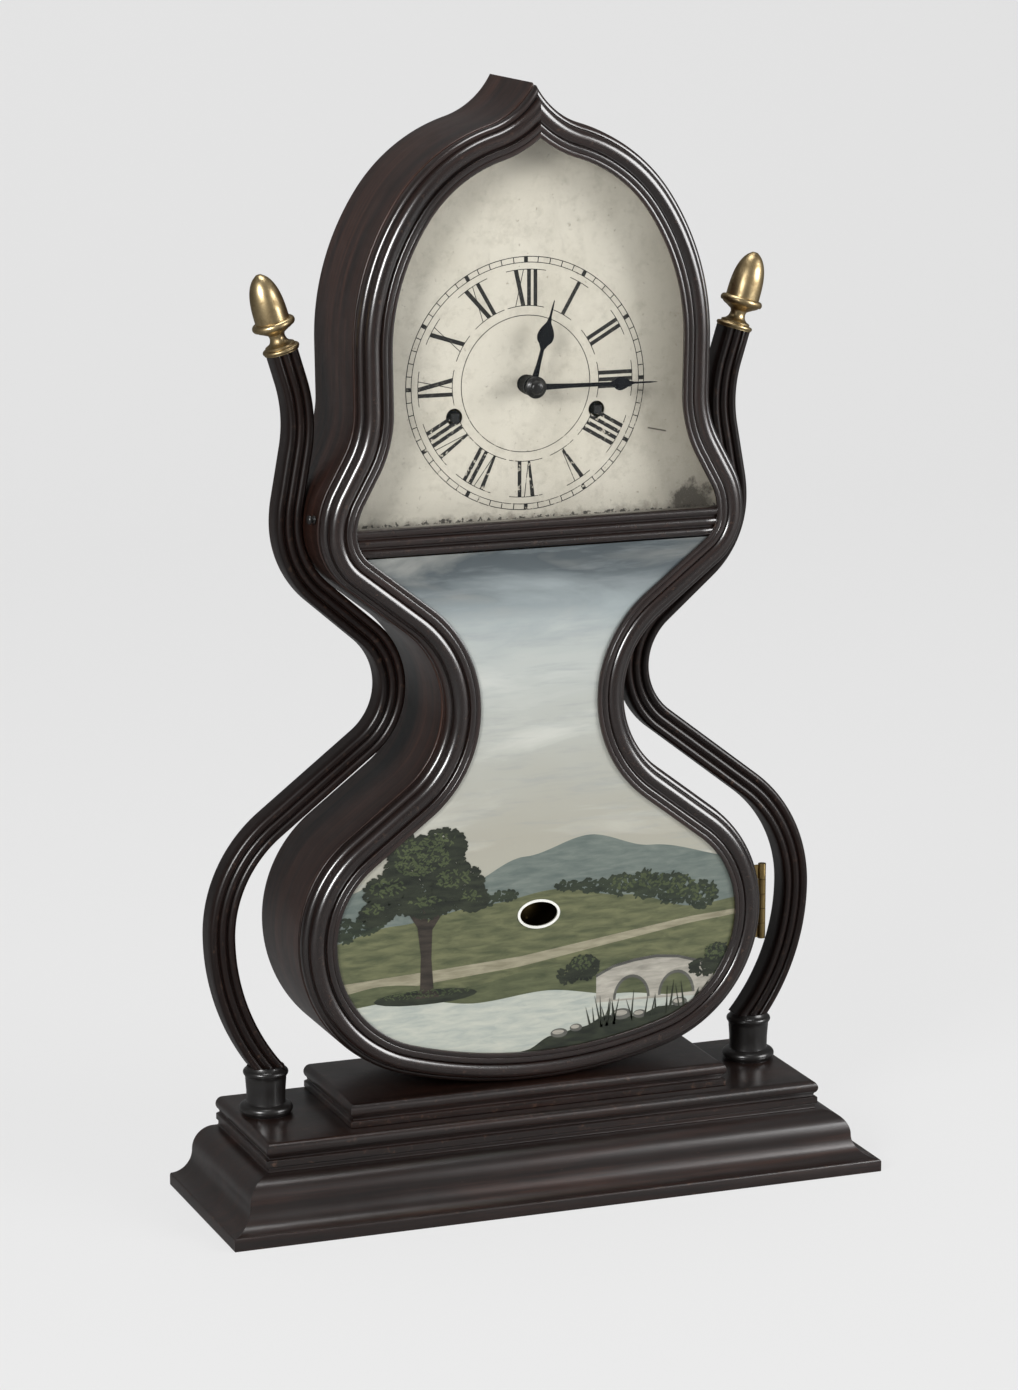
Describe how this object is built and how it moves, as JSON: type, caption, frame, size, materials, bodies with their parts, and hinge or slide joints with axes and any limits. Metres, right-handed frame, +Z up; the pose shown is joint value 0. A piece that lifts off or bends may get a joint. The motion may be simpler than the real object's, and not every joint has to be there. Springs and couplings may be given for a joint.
{
  "type": "shelf clock",
  "caption": "Acorn-shaped shelf clock: bent case and side arms, glazed door with painted tablet, Roman dial, spring movement, pendulum and gong strike.",
  "frame": {"origin": "middle of the base's footprint, on the surface that it stands on", "axes": "+Z up, the dial and door face -Y, +X to the right as seen from the front"},
  "size_m": [0.379, 0.12, 0.6079],
  "materials": {
    "rosewood": "worn shellac over rosewood veneer",
    "arm_wood": "dark stained, worn",
    "pine": "bare, aged",
    "ebonised": "black, satin",
    "gilt": "aged gilding",
    "pane": "old clear glass",
    "tablet": "glass painted on its back",
    "dial_paint": "cream paint, mottled",
    "hand_blue": "blued, nearly black",
    "cast": "black",
    "steel": "dull",
    "brass": "aged"
  },
  "bodies": {
    "case": {"base_front_moulding": "rosewood", "base_left_moulding": "rosewood", "base_right_moulding": "rosewood", "base_back_rail": "pine", "base_platform": "rosewood", "case_plinth": "rosewood", "base_screws": "steel", "case_band_left": "rosewood", "case_band_right": "rosewood", "back_board": "pine", "left_arm": "arm_wood", "right_arm": "arm_wood", "left_arm_collar": "ebonised", "right_arm_collar": "ebonised", "left_finial": "gilt", "right_finial": "gilt", "case_hinge_leaf": "brass", "dial_plate": "dial_paint", "dial_posts": "pine", "front_plate": "brass", "back_plate": "brass", "plate_pillars": "brass", "movement_blocks": "pine", "time_mainspring": "steel", "strike_mainspring": "steel", "suspension_post": "brass", "wire_gong": "steel", "gong_base": "cast"},
    "door": {"door_frame_left": "rosewood", "door_frame_right": "rosewood", "door_cross_rail": "rosewood", "dial_glass": "pane", "tablet_glass": "tablet", "door_hinge_leaf": "brass"},
    "catch": {"door_catch": "ebonised"},
    "hour_hand": {"hour_hand": "hand_blue", "hour_wheel": "brass"},
    "minute_hand": {"minute_hand": "hand_blue", "hand_boss": "ebonised", "cannon_pinion": "brass"},
    "motion_wheel": {"motion_wheel": "brass"},
    "time_winding": {"time_winding_arbor": "steel"},
    "time_great": {"time_great_wheel": "brass"},
    "second": {"second_wheel": "brass"},
    "centre": {"centre_wheel": "brass"},
    "third": {"third_wheel": "brass"},
    "escape": {"escape_wheel": "brass"},
    "verge": {"verge": "steel"},
    "pendulum": {"pendulum_rod": "steel", "pendulum_bob": "brass", "rating_nut": "brass"},
    "strike_winding": {"strike_winding_arbor": "steel"},
    "strike_great": {"strike_great_wheel": "brass"},
    "pins": {"pin_wheel": "brass"},
    "locking": {"locking_wheel": "brass"},
    "warning": {"warning_wheel": "brass"},
    "fly": {"strike_fly": "brass"},
    "count": {"count_wheel": "brass"},
    "lever": {"strike_lever": "steel"},
    "hammer": {"strike_hammer": "steel"}
  },
  "joints": [
    {"name": "door_hinge", "type": "hinge", "parent": "case", "child": "door", "pos_m": [0.1376, -0.0077, 0.1488], "axis": [0, 0, 1], "range_deg": [0, 105]},
    {"name": "catch_turn", "type": "hinge", "parent": "case", "child": "catch", "pos_m": [-0.118, -0.0022, 0.381], "axis": [-1, 0, 0], "range_deg": [0, 90]},
    {"name": "minute_hand_turn", "type": "hinge", "parent": "case", "child": "minute_hand", "pos_m": [0, 0.008, 0.4465], "axis": [0, 1, 0], "continuous": true},
    {"name": "hour_hand_turn", "type": "hinge", "parent": "case", "child": "hour_hand", "pos_m": [0, 0.008, 0.4465], "axis": [0, 1, 0], "continuous": true},
    {"name": "motion_wheel_turn", "type": "hinge", "parent": "case", "child": "motion_wheel", "pos_m": [0.006, 0.01, 0.43611], "axis": [0, 1, 0], "continuous": true},
    {"name": "escape_turn", "type": "hinge", "parent": "case", "child": "escape", "pos_m": [0, 0.02665, 0.4805], "axis": [0, 1, 0], "continuous": true},
    {"name": "third_turn", "type": "hinge", "parent": "case", "child": "third", "pos_m": [-0.00696, 0.02665, 0.46445], "axis": [0, 1, 0], "continuous": true},
    {"name": "centre_turn", "type": "hinge", "parent": "case", "child": "centre", "pos_m": [0, 0.02665, 0.4465], "axis": [0, 1, 0], "continuous": true},
    {"name": "second_turn", "type": "hinge", "parent": "case", "child": "second", "pos_m": [0.02257, 0.02665, 0.45604], "axis": [0, 1, 0], "continuous": true},
    {"name": "time_great_turn", "type": "hinge", "parent": "case", "child": "time_great", "pos_m": [0.041, 0.017, 0.4305], "axis": [0, 1, 0], "continuous": true},
    {"name": "time_winding_turn", "type": "hinge", "parent": "case", "child": "time_winding", "pos_m": [0.041, 0.02665, 0.4305], "axis": [0, 1, 0], "continuous": true},
    {"name": "fly_turn", "type": "hinge", "parent": "case", "child": "fly", "pos_m": [-0.0133, 0.02665, 0.50448], "axis": [0, 1, 0], "continuous": true},
    {"name": "warning_turn", "type": "hinge", "parent": "case", "child": "warning", "pos_m": [-0.02383, 0.02665, 0.49565], "axis": [0, 1, 0], "continuous": true},
    {"name": "locking_turn", "type": "hinge", "parent": "case", "child": "locking", "pos_m": [-0.03587, 0.02665, 0.48318], "axis": [0, 1, 0], "continuous": true},
    {"name": "pin_wheel_turn", "type": "hinge", "parent": "case", "child": "pins", "pos_m": [-0.04593, 0.02665, 0.46161], "axis": [0, 1, 0], "continuous": true},
    {"name": "strike_great_turn", "type": "hinge", "parent": "case", "child": "strike_great", "pos_m": [-0.041, 0.017, 0.4305], "axis": [0, 1, 0], "continuous": true},
    {"name": "count_turn", "type": "hinge", "parent": "case", "child": "count", "pos_m": [-0.05207, 0.01, 0.48169], "axis": [0, 1, 0], "continuous": true},
    {"name": "strike_winding_turn", "type": "hinge", "parent": "case", "child": "strike_winding", "pos_m": [-0.041, 0.02665, 0.4305], "axis": [0, 1, 0], "continuous": true},
    {"name": "pendulum_swing", "type": "hinge", "parent": "case", "child": "pendulum", "pos_m": [0, 0.0055, 0.5086], "axis": [0, 1, 0], "range_deg": [-3, 3]},
    {"name": "verge_rock", "type": "hinge", "parent": "case", "child": "verge", "pos_m": [0, 0.009, 0.502], "axis": [0, 1, 0], "range_deg": [-3.6, 3.6]},
    {"name": "lever_lift", "type": "hinge", "parent": "case", "child": "lever", "pos_m": [-0.066, 0.02665, 0.5065], "axis": [0, 1, 0], "range_deg": [-6, 0]},
    {"name": "hammer_swing", "type": "hinge", "parent": "case", "child": "hammer", "pos_m": [-0.061, 0.02665, 0.4065], "axis": [0, 1, 0], "range_deg": [0, 4]}
  ],
  "couplings": [
    {"joint": "motion_wheel_turn", "follows": "minute_hand_turn", "ratio": -0.33333},
    {"joint": "hour_hand_turn", "follows": "minute_hand_turn", "ratio": 0.083333},
    {"joint": "escape_turn", "follows": "third_turn", "ratio": -9},
    {"joint": "centre_turn", "follows": "third_turn", "ratio": -0.11111},
    {"joint": "second_turn", "follows": "third_turn", "ratio": 0.018519},
    {"joint": "time_great_turn", "follows": "third_turn", "ratio": -0.0030864},
    {"joint": "fly_turn", "follows": "warning_turn", "ratio": -6.8571},
    {"joint": "locking_turn", "follows": "warning_turn", "ratio": -0.125},
    {"joint": "pin_wheel_turn", "follows": "warning_turn", "ratio": 0.016667},
    {"joint": "strike_great_turn", "follows": "warning_turn", "ratio": -0.0027778},
    {"joint": "count_turn", "follows": "warning_turn", "ratio": -0.0012821},
    {"joint": "verge_rock", "follows": "pendulum_swing", "ratio": 1.1859}
  ]
}
